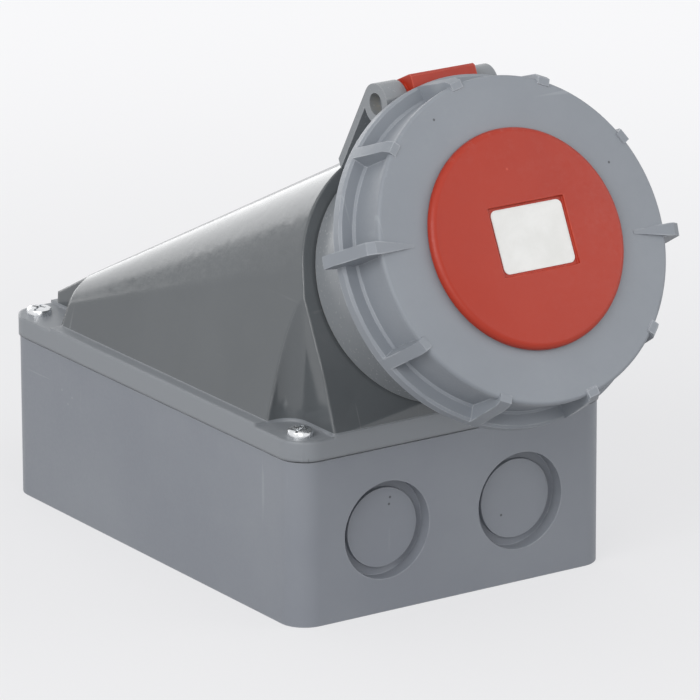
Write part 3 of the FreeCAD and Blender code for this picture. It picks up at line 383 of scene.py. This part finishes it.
def metal(name, base, shade, roughness):
    """Plated or turned metal with a fine grain, scratches and darker clouds."""
    material, tree, output = new_material(name)
    skin = place(tree, SKIN, {"Cloud Scale": 160.0})
    brushed = noise(tree, object_points(tree), 1400.0)
    marks = place(tree, SCUFFS, {"Amount": 0.5, "Scale": 4.0}).outputs["Marks"]
    tint = blend(tree, multiply(tree, skin.outputs["Tone"], METAL_CLOUDS), base, shade)
    rough = spread(tree, brushed, *NOISE_SPAN, roughness - BRUSH_SMOOTHER, roughness + BRUSH_ROUGHER)
    rough = calculate(tree, "ADD", rough, multiply(tree, marks, METAL_SCRATCH_ROUGHNESS), clamp=True)
    bump = put(tree, "ShaderNodeBump", {"Strength": 0.2, "Distance": BRUSH_HEIGHT, "Height": brushed})
    shader = put(tree, "ShaderNodeBsdfPrincipled",
                 {"Base Color": tint, "Metallic": 1.0, "Roughness": rough,
                  "Normal": bump.outputs["Normal"]})
    tree.links.new(shader.outputs[0], output.inputs["Surface"])
    return material


def label_film():
    """White label film with faint mottling and grubby edges."""
    material, tree, output = new_material("label_film")
    skin = place(tree, SKIN, {"Cloud Scale": 90.0, "Grain Scale": 2200.0})
    edge = place(tree, EDGES, {"Width": 0.0012}).outputs["Edge"]
    marks = place(tree, SCUFFS, {"Amount": 0.5}).outputs["Marks"]
    clean, cloudy = colour(238, 238, 236), colour(229, 229, 226)
    grubby, scratched = colour(196, 192, 186), colour(206, 204, 200)
    tint = blend(tree, skin.outputs["Tone"], cloudy, clean)
    tint = blend(tree, multiply(tree, edge, LABEL_EDGE_GRIME), tint, grubby)
    tint = blend(tree, marks, tint, scratched)
    bump = put(tree, "ShaderNodeBump", {"Strength": 0.15, "Distance": 0.03 * MM,
                                        "Height": skin.outputs["Grain"]})
    rough = spread(tree, skin.outputs["Grain"], *LABEL_GRAIN_SPAN, *LABEL_ROUGHNESS)
    shader = put(tree, "ShaderNodeBsdfPrincipled",
                 {"Base Color": tint, "Normal": bump.outputs["Normal"], "Roughness": rough})
    tree.links.new(shader.outputs[0], output.inputs["Surface"])
    return material


# The flange's paler tint is painted light; its roughness and grain are its own.
FLANGE_WITH_PAINTED_LIGHT = {"mask": flange_zone, "tint": colour(137, 141, 146), "roughness": 0.42, "grain": 0.3}

# Places of small marks that the photograph shows, in millimetres.
DISC_PITS = ((-22.3, -82.3, 36.3), (-22.7, -82.3, 34.1), (20.1, -82.3, 22.2))
WALL_RUBS = ((-59.3, 53.2, 42.4), (-59.3, 49.6, 38.5), (-59.3, 47.0, 41.3))
RING_SPECKS = ((-21.3, -105.1, 163.6), (37.4, -115.0, 143.1))
CAP_MARK = ((-1.9, -116.2, 147.5),)

MATERIALS = {
    "box_plastic": plastic(
        "box_plastic", base=colour(141, 145, 152), shade=colour(134, 138, 146),
        worn_and_sheen=colour(172, 175, 181), roughness=0.44, gloss=0.42, grain=0.35, specks=DISC_PITS,
        rubs=WALL_RUBS),
    "hood_plastic": plastic(
        "hood_plastic", base=colour(95, 99, 102), shade=colour(90, 94, 97), worn_and_sheen=colour(150, 153, 156),
        roughness=0.12, gloss=0.55, grain=0.03, dust=0.12, scuffs=0.45, edge_wear_and_sheen=0.25, corner=1.5 * MM,
        zone=FLANGE_WITH_PAINTED_LIGHT),
    "neck_plastic": plastic(
        "neck_plastic", base=colour(142, 146, 150), shade=colour(136, 140, 144),
        worn_and_sheen=colour(174, 177, 180), roughness=0.22, gloss=0.55, grain=0.04, scuffs=0.3, edge_wear_and_sheen=0.4,
        dust=0.03),
    "ring_plastic": plastic(
        "ring_plastic", base=colour(144, 149, 156), shade=colour(137, 142, 149),
        worn_and_sheen=colour(184, 188, 193), roughness=0.46, gloss=0.42, grain=0.3, edge_wear_and_sheen=0.8,
        specks=RING_SPECKS),
    "red_plastic": plastic(
        "red_plastic", base=colour(174, 50, 27), shade=colour(167, 46, 25), worn_and_sheen=colour(222, 102, 80),
        roughness=0.42, gloss=0.42, grain=0.3, dust=0.12, edge_wear_and_sheen=0.6, scuffs=0.4, rubs=CAP_MARK),
    "carrier_plastic": plastic(
        "carrier_plastic", base=colour(52, 53, 56), shade=colour(44, 45, 48), worn_and_sheen=colour(96, 97, 99),
        roughness=0.5, dust=0.3),
    "black_rubber": plastic(
        "black_rubber", base=colour(34, 34, 35), shade=colour(27, 27, 28), worn_and_sheen=colour(62, 62, 62),
        roughness=0.72, gloss=0.3, grain=0.5, dust=0.5, grain_scale=1500.0),
    "zinc_steel": metal(
        "zinc_steel", base=(0.80, 0.81, 0.82, 1), shade=(0.70, 0.72, 0.74, 1), roughness=0.2),
    "spring_steel": metal(
        "spring_steel", base=(0.56, 0.56, 0.57, 1), shade=(0.40, 0.40, 0.42, 1), roughness=0.32),
    "brass": metal(
        "brass", base=(0.83, 0.62, 0.27, 1), shade=(0.62, 0.43, 0.16, 1), roughness=0.26),
    "label_film": label_film(),
}


# Pieces

# Edges that turn by more than these angles, in degrees, stay sharp.
SHARP_BAND = 32
SHARP_MOULDED = 28
SHARP_GROWN = 30

# Loose triangles are welded within this distance, and flat ones joined within this angle.
WELD = 0.002 * MM
FLAT_ANGLE = 0.2


def dress(piece, body, slot, *nodes, finish=None):
    """Rides a piece on its body, with the material named by its finish or its slot, and hides the nodes it
    stands for.
    """
    piece.data.materials.clear()
    piece.data.materials.append(MATERIALS[finish or slot])
    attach(piece, body)
    if nodes:
        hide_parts(*nodes)


def new_piece(name, mesh):
    """Object at the origin for a mesh."""
    piece = bpy.data.objects.new(name, mesh)
    bpy.context.scene.collection.objects.link(piece)
    return piece


def crease(shape, angle):
    """Smooth faces with sharp edges where the surface turns by more than the angle."""
    for face in shape.faces:
        face.smooth = True
    for edge in shape.edges:
        edge.smooth = edge.is_manifold and edge.calc_face_angle(0) < math.radians(angle)


def finish_shape(shape, name, angle):
    """Mesh of a bmesh, creased, with its normals outwards."""
    bmesh.ops.recalc_face_normals(shape, faces=shape.faces)
    crease(shape, angle)
    mesh = bpy.data.meshes.new(name)
    shape.to_mesh(mesh)
    shape.free()
    return mesh


def soft_edges(piece, width, angle):
    """Small rounded edges, as the mould leaves them."""
    bevel = piece.modifiers.new("soft_edges", "BEVEL")
    bevel.width = width
    bevel.segments = 3
    bevel.limit_method = "ANGLE"
    bevel.angle_limit = math.radians(angle)
    bevel.harden_normals = True
    bevel.use_clamp_overlap = True


# The neck shares the hood's slot, but it is a paler moulding of its own.
FINISH_OF = {"socket_housing": "neck_plastic"}


def moulded(node, width):
    """Smooth copy of a node's solid with softened edges."""
    shape = bmesh.new()
    shape.from_mesh(frame["nodes"][node].data)
    bmesh.ops.remove_doubles(shape, verts=shape.verts, dist=WELD)
    bmesh.ops.dissolve_limit(shape, angle_limit=math.radians(FLAT_ANGLE), verts=shape.verts,
                             edges=shape.edges)
    name = node + "_moulded"
    piece = new_piece(name, finish_shape(shape, name, SHARP_MOULDED))
    soft_edges(piece, width, SHARP_MOULDED)
    dress(piece, BODY_OF[node], SLOT_OF[node], node, finish=FINISH_OF.get(node))


# Width of each node's softened edges, in millimetres.
MOULDED_WIDTHS = {
    "base_box": 0.5, "socket_housing": 0.4, "bayonet_ring": 0.45, "lid": 0.4, "lid_cap": 0.3,
    "contact_carrier": 0.3, "clamp_nut": 0.3, "retainer_plate": 0.2, "blank_label": 0.05,
    "hinge_pin": 0.15, "phase_contact_1": 0.1, "phase_contact_2": 0.1, "phase_contact_3": 0.1,
    "earth_contact": 0.1, "pilot_contact": 0.1, "lid_gasket": 0.1, "cover_gasket": 0.2,
    "housing_gasket": 0.1, "carrier_clip": 0.1, "threaded_inserts": 0.1, "terminal_screws": 0.1,
    "retainer_screws": 0.1,
}

for node, width in MOULDED_WIDTHS.items():
    moulded(node, width * MM)

# The flange: half its width and length, its corners' radius, the heights of its lower edge and its screw
# pads, and how far from the middle its front notches begin.
FLANGE_HALF = Vector((59.8, 85.8)) * MM
FLANGE_CORNER = 9.3 * MM
SEAM = 54.4 * MM
PAD_TOP = 61.0 * MM
NOTCH_SIDE = 45.2 * MM

# The hood's foot is drawn back below this height, and only on its face.
BEND_TOP = 67.3 * MM
FACE_DEPTH = 0.3 * MM

# The band: half its width, how far it stands out, its thickness and the number of its parts.
BAND_HALF = 56.5 * MM
BAND_PROUD = 0.03 * MM
BAND_DEPTH = 2.4 * MM
BAND_PARTS = 80


def flange_front(across):
    """Y of the flange's front at a distance from the middle, round its corners too."""
    bend = max(abs(across) - (FLANGE_HALF.x - FLANGE_CORNER), 0)
    return FLANGE_CORNER - FLANGE_HALF.y - math.sqrt(max(FLANGE_CORNER ** 2 - bend ** 2, 0))


def hood_shell():
    """The hood with its own exact surface, and its foot drawn back to the flange's front."""
    mesh = frame["nodes"]["hood"].data.copy()
    outward = SOCKET.to_3x3() @ Vector((0, 0, 1))
    for vertex in mesh.vertices:
        on_face = (vertex.co - FACE_CENTRE).dot(outward) > -FACE_DEPTH
        if not on_face or vertex.co.z > BEND_TOP:
            continue
        share = min((BEND_TOP - vertex.co.z) / (BEND_TOP - FLANGE_TOP), 1)
        excess = max(flange_front(vertex.co.x) - vertex.co.y, 0)
        vertex.co.y += share * excess
    dress(new_piece("hood_shell", mesh), "root", "hood_plastic", "hood")


def front_band():
    """Front of the flange between the corners, flush with them."""
    shape = bmesh.new()
    for low, high, reach in ((SEAM, PAD_TOP, BAND_HALF), (PAD_TOP, FLANGE_TOP, NOTCH_SIDE)):
        top = high - BAND_PROUD
        rings = []
        for step in range(BAND_PARTS + 1):
            across = reach * (2 * step / BAND_PARTS - 1)
            front = flange_front(across) - BAND_PROUD
            back = front + BAND_DEPTH
            corners = ((front, low), (front, top), (back, top), (back, low))
            rings.append([shape.verts.new((across, along, up)) for along, up in corners])
        for near, far in zip(rings, rings[1:]):
            for side in range(4):
                turn = (side + 1) % 4
                shape.faces.new((near[side], near[turn], far[turn], far[side]))
        shape.faces.new(rings[0])
        shape.faces.new(rings[-1])
    name = "flange_front_band"
    dress(new_piece(name, finish_shape(shape, name, SHARP_BAND)), "root", "hood_plastic")


hood_shell()
front_band()


# The screw head's profile: each step's share of its height and of the width below it.
HEAD_STEPS = ((0.55, 1.0), (0.22, 0.955), (0.15, 0.86), (0.08, 0.72))

# The slot and the cross's two bars: each one's length, depth and width. The depth is a share of the head's
# height, and the others are shares of its radius.
RECESS_CUTS = ((1.9, 0.5, 0.2), (1.1, 1.1, 0.24), (0.24, 1.1, 1.1))
THREAD_CREST = 0.22 * MM


def output_mesh(tree, made, mesh, slot):
    """Ends a mesh tree: instances made real, with one material."""
    real = put(tree, "GeometryNodeRealizeInstances", {0: mesh}).outputs[0]
    dressed = put(tree, "GeometryNodeSetMaterial", {"Geometry": real, "Material": MATERIALS[slot]})
    tree.links.new(dressed.outputs[0], made.inputs["Mesh"])


def moved(tree, mesh, **along):
    """A mesh shifted by some of X, Y and Z."""
    shifted = put(tree, "GeometryNodeTransform", {"Geometry": mesh, "Translation": offset(tree, **along)})
    return shifted.outputs[0]


def joined(tree, *meshes):
    """Several meshes as one."""
    join = put(tree, "GeometryNodeJoinGeometry")
    for mesh in meshes:
        tree.links.new(mesh, join.inputs[0])
    return join.outputs[0]


def raised(tree, mesh, height, shrink):
    """Extrudes the top face by a height and shrinks the new top."""
    pulled = put(tree, "GeometryNodeExtrudeMesh", {"Mesh": mesh["mesh"], "Selection": mesh["top"],
                                                   "Offset Scale": height, "Individual": False})
    scaled = put(tree, "GeometryNodeScaleElements", {"Geometry": pulled.outputs["Mesh"],
                                                     "Selection": pulled.outputs["Top"], "Scale": shrink})
    return {"mesh": scaled.outputs[0], "top": pulled.outputs["Top"]}


def wound(tree, radius, rise, turns, resolution):
    """Helix curve of one radius."""
    helix = put(tree, "GeometryNodeCurveSpiral", {"Resolution": resolution, "Rotations": turns,
                                                  "Start Radius": radius, "End Radius": radius,
                                                  "Height": rise})
    return helix.outputs[0]


def cover_screw_tree():
    """Four pan-head screws with a slot and a cross, each turned its own way, on a grid of seats."""
    tree, given, made = tree_of("GeometryNodeTree", "cover_screws", [
        number("Seat Across", 0.1), number("Seat Along", 0.15), number("Seat Height", 0.06),
        number("Head Radius", 0.004), number("Head Height", 0.0024), number("Shank Radius", 0.002),
        number("Shank Length", 0.015), number("Thread Turns", 14.0),
    ], [("Mesh", "NodeSocketGeometry")])
    size = given.outputs
    disc = put(tree, "GeometryNodeMeshCircle", {"Vertices": 40, "Radius": size["Head Radius"]},
               fill_type="NGON")
    body = {"mesh": disc.outputs[0], "top": True}
    for share, shrink in HEAD_STEPS:
        body = raised(tree, body, multiply(tree, size["Head Height"], share), shrink)
    underside = put(tree, "GeometryNodeFlipFaces", {0: disc.outputs[0]}).outputs[0]
    head = joined(tree, body["mesh"], underside)
    welded = put(tree, "GeometryNodeMergeByDistance", {"Geometry": head, "Distance": 0.01 * MM}).outputs[0]

    recess = put(tree, "GeometryNodeMeshBoolean", {"Mesh 1": welded}, operation="DIFFERENCE")
    for wide, deep, thick in RECESS_CUTS:
        sizes = offset(tree, X=multiply(tree, size["Head Radius"], wide),
                       Y=multiply(tree, size["Head Radius"], thick),
                       Z=multiply(tree, size["Head Height"], deep))
        block = put(tree, "GeometryNodeMeshCube", {"Size": sizes}).outputs[0]
        tree.links.new(moved(tree, block, Z=size["Head Height"]), recess.inputs["Mesh 2"])

    shank = put(tree, "GeometryNodeMeshCylinder", {"Vertices": 24, "Radius": size["Shank Radius"],
                                                   "Depth": size["Shank Length"]}).outputs[0]
    shank = moved(tree, shank, Z=multiply(tree, size["Shank Length"], -0.5))
    path = wound(tree, size["Shank Radius"], size["Shank Length"], size["Thread Turns"], 20)
    crest = put(tree, "GeometryNodeCurvePrimitiveCircle", {"Resolution": 3, "Radius": THREAD_CREST})
    ridge = put(tree, "GeometryNodeCurveToMesh", {"Curve": path, "Profile Curve": crest.outputs[0]})
    thread = moved(tree, ridge.outputs[0], Z=multiply(tree, size["Shank Length"], -1.0))

    seats = put(tree, "GeometryNodeMeshGrid", {"Size X": size["Seat Across"], "Size Y": size["Seat Along"],
                                               "Vertices X": 2, "Vertices Y": 2}).outputs[0]
    seats = moved(tree, seats, Z=size["Seat Height"])
    turn = put(tree, "FunctionNodeRandomValue", {"Seed": 7}, data_type="FLOAT_VECTOR")
    turn.inputs["Min"].default_value = (0, 0, 0)
    turn.inputs["Max"].default_value = (0, 0, math.pi)
    screw = joined(tree, recess.outputs[0], shank, thread)
    placed = put(tree, "GeometryNodeInstanceOnPoints", {"Points": seats, "Instance": screw,
                                                        "Rotation": turn.outputs["Value"]})
    output_mesh(tree, made, placed.outputs[0], "zinc_steel")
    return tree


def hinge_spring_tree():
    """Close-wound torsion spring: a coil of round wire and its straight leg."""
    tree, given, made = tree_of("GeometryNodeTree", "hinge_spring", [
        number("Coil Radius", 0.0037), number("Wire Radius", 0.0007), number("Coils", 6.0),
        number("Coil Length", 0.0084), number("Leg", 0.011),
    ], [("Mesh", "NodeSocketGeometry")])
    size = given.outputs
    coil = wound(tree, size["Coil Radius"], size["Coil Length"], size["Coils"], 40)
    coil = moved(tree, coil, Z=multiply(tree, size["Coil Length"], -0.5))
    leg_height = calculate(tree, "SUBTRACT", multiply(tree, size["Coil Length"], 0.5), size["Wire Radius"])
    near = offset(tree, Y=size["Coil Radius"], Z=leg_height)
    far = offset(tree, X=multiply(tree, size["Leg"], -1.0), Y=size["Coil Radius"], Z=leg_height)
    leg = put(tree, "GeometryNodeCurvePrimitiveLine", {"Start": near, "End": far}).outputs[0]
    wire = put(tree, "GeometryNodeCurvePrimitiveCircle", {"Resolution": 12, "Radius": size["Wire Radius"]})
    swept = put(tree, "GeometryNodeCurveToMesh", {"Curve": joined(tree, coil, leg),
                                                  "Profile Curve": wire.outputs[0], "Fill Caps": True})
    output_mesh(tree, made, swept.outputs[0], "spring_steel")
    return tree


def grown(name, tree, values, placement=None):
    """Piece that a node tree makes from its named inputs, turned into a plain mesh."""
    piece = new_piece(name, bpy.data.meshes.new(name))
    maker = piece.modifiers.new(name, "NODES")
    maker.node_group = tree
    for socket in tree.interface.items_tree:
        if socket.in_out == "INPUT" and socket.name in values:
            maker[socket.identifier] = values[socket.name]
    finished = piece.evaluated_get(bpy.context.evaluated_depsgraph_get())
    mesh = bpy.data.meshes.new_from_object(finished)
    piece.modifiers.clear()
    shape = bmesh.new()
    shape.from_mesh(mesh)
    if placement:
        bmesh.ops.transform(shape, matrix=placement, verts=shape.verts)
    crease(shape, SHARP_GROWN)
    shape.to_mesh(mesh)
    shape.free()
    piece.data = mesh
    return piece


SCREW_SEAT = Vector((52.7, 77.7)) * MM
screws = grown("cover_screw_set", cover_screw_tree(), {
    "Seat Across": 2 * SCREW_SEAT.x, "Seat Along": 2 * SCREW_SEAT.y, "Seat Height": PAD_TOP,
    "Head Radius": 4.1 * MM, "Head Height": 2.4 * MM, "Shank Radius": 2.0 * MM, "Shank Length": 15.0 * MM,
    "Thread Turns": 16.0,
})
dress(screws, "root", "zinc_steel", "cover_screws")

# The hinge's own frame: its Z runs across the socket, through a point above the mouth.
HINGE_POINT = Vector((0, 53, 30)) * MM
Z_ACROSS = Matrix(((0, 0, 1, 0), (1, 0, 0, 0), (0, 1, 0, 0), (0, 0, 0, 1)))
HINGE = SOCKET @ Matrix.Translation(HINGE_POINT) @ Z_ACROSS
spring = grown("wound_spring", hinge_spring_tree(), {
    "Coil Radius": 3.7 * MM, "Wire Radius": 0.7 * MM, "Coils": 6.0, "Coil Length": 8.4 * MM,
    "Leg": 10.85 * MM,
}, HINGE)
dress(spring, "root", "spring_steel", "hinge_spring")


# Stage, light and camera

FLOOR_HALF = 9.0

# The floor's colour for what it lights, and for what is seen of it, with the glow that is added there; the
# glow is weaker near the object, a painted shade around it.
FLOOR_LIGHTING = (0.36, 0.36, 0.365, 1)
FLOOR_SEEN = (0.26, 0.26, 0.262, 1)
GLOW_COLOUR = (0.95, 0.95, 0.965, 1)
PAINTED_SHADE_REACH = (0.12, 0.7)
GLOW_STRENGTH_WITH_PAINTED_SHADE = (0.645, 0.77)

# The surroundings' strength for what they light and for what is seen of them.
SKY_COLOUR = (0.985, 0.99, 1.0, 1)
SKY_LIGHTING = 0.55
SKY_SEEN = 0.955


def seen_mask(tree):
    """1 for what the camera sees, straight, mirrored or through glass, and 0 for what only gives light."""
    path = put(tree, "ShaderNodeLightPath").outputs
    straight = calculate(tree, "MAXIMUM", path["Is Camera Ray"], path["Is Glossy Ray"])
    return calculate(tree, "MAXIMUM", straight, path["Is Transmission Ray"])


def floor():
    """Pale floor that fades to the plain background but keeps the shadow, with a painted shade where its
    glow dims near the object.
    """
    mesh = bpy.data.meshes.new("floor")
    corners = [(x * FLOOR_HALF, y * FLOOR_HALF, 0) for x, y in ((-1, -1), (1, -1), (1, 1), (-1, 1))]
    mesh.from_pydata(corners, [], [(0, 1, 2, 3)])
    piece = new_piece("floor", mesh)
    material, tree, output = new_material("pale_floor")
    lit = put(tree, "ShaderNodeBsdfDiffuse", {"Color": FLOOR_LIGHTING})
    away = put(tree, "ShaderNodeVectorMath", {0: object_points(tree)}, operation="LENGTH")
    # Painted shade: the glow is weaker close to the object.
    glow_with_painted_shade = spread(tree, away.outputs["Value"], *PAINTED_SHADE_REACH, *GLOW_STRENGTH_WITH_PAINTED_SHADE)
    glow = put(tree, "ShaderNodeEmission", {"Color": GLOW_COLOUR, "Strength": glow_with_painted_shade})
    dim = put(tree, "ShaderNodeBsdfDiffuse", {"Color": FLOOR_SEEN})
    bright = put(tree, "ShaderNodeAddShader", {0: dim.outputs[0], 1: glow.outputs[0]})
    seen = seen_mask(tree)
    mix = put(tree, "ShaderNodeMixShader", {"Fac": seen, 1: lit.outputs[0], 2: bright.outputs[0]})
    tree.links.new(mix.outputs[0], output.inputs["Surface"])
    mesh.materials.append(material)


def surroundings():
    """White surroundings for what is seen or mirrored, dimmer for what lights the object."""
    world = bpy.data.worlds.new("studio")
    bpy.context.scene.world = world
    world.use_nodes = True
    tree = world.node_tree
    tree.nodes.clear()
    strength = spread(tree, seen_mask(tree), 0.0, 1.0, SKY_LIGHTING, SKY_SEEN)
    background = put(tree, "ShaderNodeBackground", {"Color": SKY_COLOUR, "Strength": strength})
    output = put(tree, "ShaderNodeOutputWorld", {"Surface": background.outputs[0]})
    output.is_active_output = True


def new_lamp(name, size, power):
    """Rectangular area light that the camera itself doesn't see."""
    light = bpy.data.lights.new(name, "AREA")
    light.shape = "RECTANGLE"
    light.size, light.size_y = size
    light.energy = power
    lamp = bpy.data.objects.new(name, light)
    bpy.context.scene.collection.objects.link(lamp)
    lamp.visible_camera = False
    return lamp


def direction(azimuth, elevation):
    """Unit vector; the azimuth runs from +Y towards +X, both in degrees."""
    turn, rise = math.radians(azimuth), math.radians(elevation)
    return Vector((math.sin(turn) * math.cos(rise), math.cos(turn) * math.cos(rise), math.sin(rise)))


def softbox(name, azimuth, elevation, size, power):
    """Area light in a direction from the object, turned towards it."""
    lamp = new_lamp(name, size, power)
    outward = direction(azimuth, elevation)
    lamp.location = outward * LAMP_DISTANCE + AIM
    lamp.rotation_euler = outward.to_track_quat("Z", "Y").to_euler()


def leaning_softbox(name, first, second, size, power):
    """Area light whose upper edge starts in one direction and leans through another."""
    lamp = new_lamp(name, size, power)
    ends = [direction(*angles) * LAMP_DISTANCE for angles in (first, second)]
    along = (ends[1] - ends[0]).normalized()
    middle = (ends[0] + ends[1]) / 2
    outward = (middle - along * middle.dot(along)).normalized()
    rise = outward.cross(-along)
    turn = Matrix((-along, rise, outward)).transposed().to_4x4()
    centre = ends[0] + along * size[0] / 2 - rise * size[1] / 2 + AIM
    lamp.matrix_world = Matrix.Translation(centre) @ turn


def camera():
    """Long lens at the photograph's angle."""
    azimuth = math.radians(CAMERA_AZIMUTH)
    elevation = math.radians(CAMERA_ELEVATION)
    roll = math.radians(CAMERA_ROLL)
    back = Vector((-math.sin(azimuth) * math.cos(elevation), -math.cos(azimuth) * math.cos(elevation),
                   math.sin(elevation)))
    level = Vector((math.cos(azimuth), -math.sin(azimuth), 0))
    rise = back.cross(level)
    right = math.cos(roll) * level + math.sin(roll) * rise
    up = -math.sin(roll) * level + math.cos(roll) * rise
    lens = bpy.data.cameras.new("photo_camera")
    lens.lens = CAMERA_LENS
    lens.sensor_width = SENSOR_WIDTH
    eye = bpy.data.objects.new("photo_camera", lens)
    bpy.context.scene.collection.objects.link(eye)
    eye.matrix_world = Matrix((
        (right.x, up.x, back.x, 0), (right.y, up.y, back.y, 0), (right.z, up.z, back.z, 0), (0, 0, 0, 1)))
    eye.location = back * CAMERA_DISTANCE + right * CAMERA_OFFSET[0] + up * CAMERA_OFFSET[1]
    lens.clip_start, lens.clip_end = 0.05, 50
    bpy.context.scene.camera = eye


floor()
surroundings()
softbox("key_left", azimuth=-115, elevation=28, size=(1.6, 1.2), power=22)
softbox("front_top", azimuth=175, elevation=58, size=(1.6, 1.2), power=3)
softbox("fill_front", azimuth=-150, elevation=8, size=(1.0, 0.8), power=5)
softbox("fill_right", azimuth=128, elevation=20, size=(1.2, 1.2), power=8)

# Its mirror image is the bright band along the hood's upper edge.
leaning_softbox("band_light", first=(-33, 3), second=(-17, 14), size=(2.4, 1.8), power=23)
camera()
bpy.context.scene.view_settings.view_transform = "Standard"
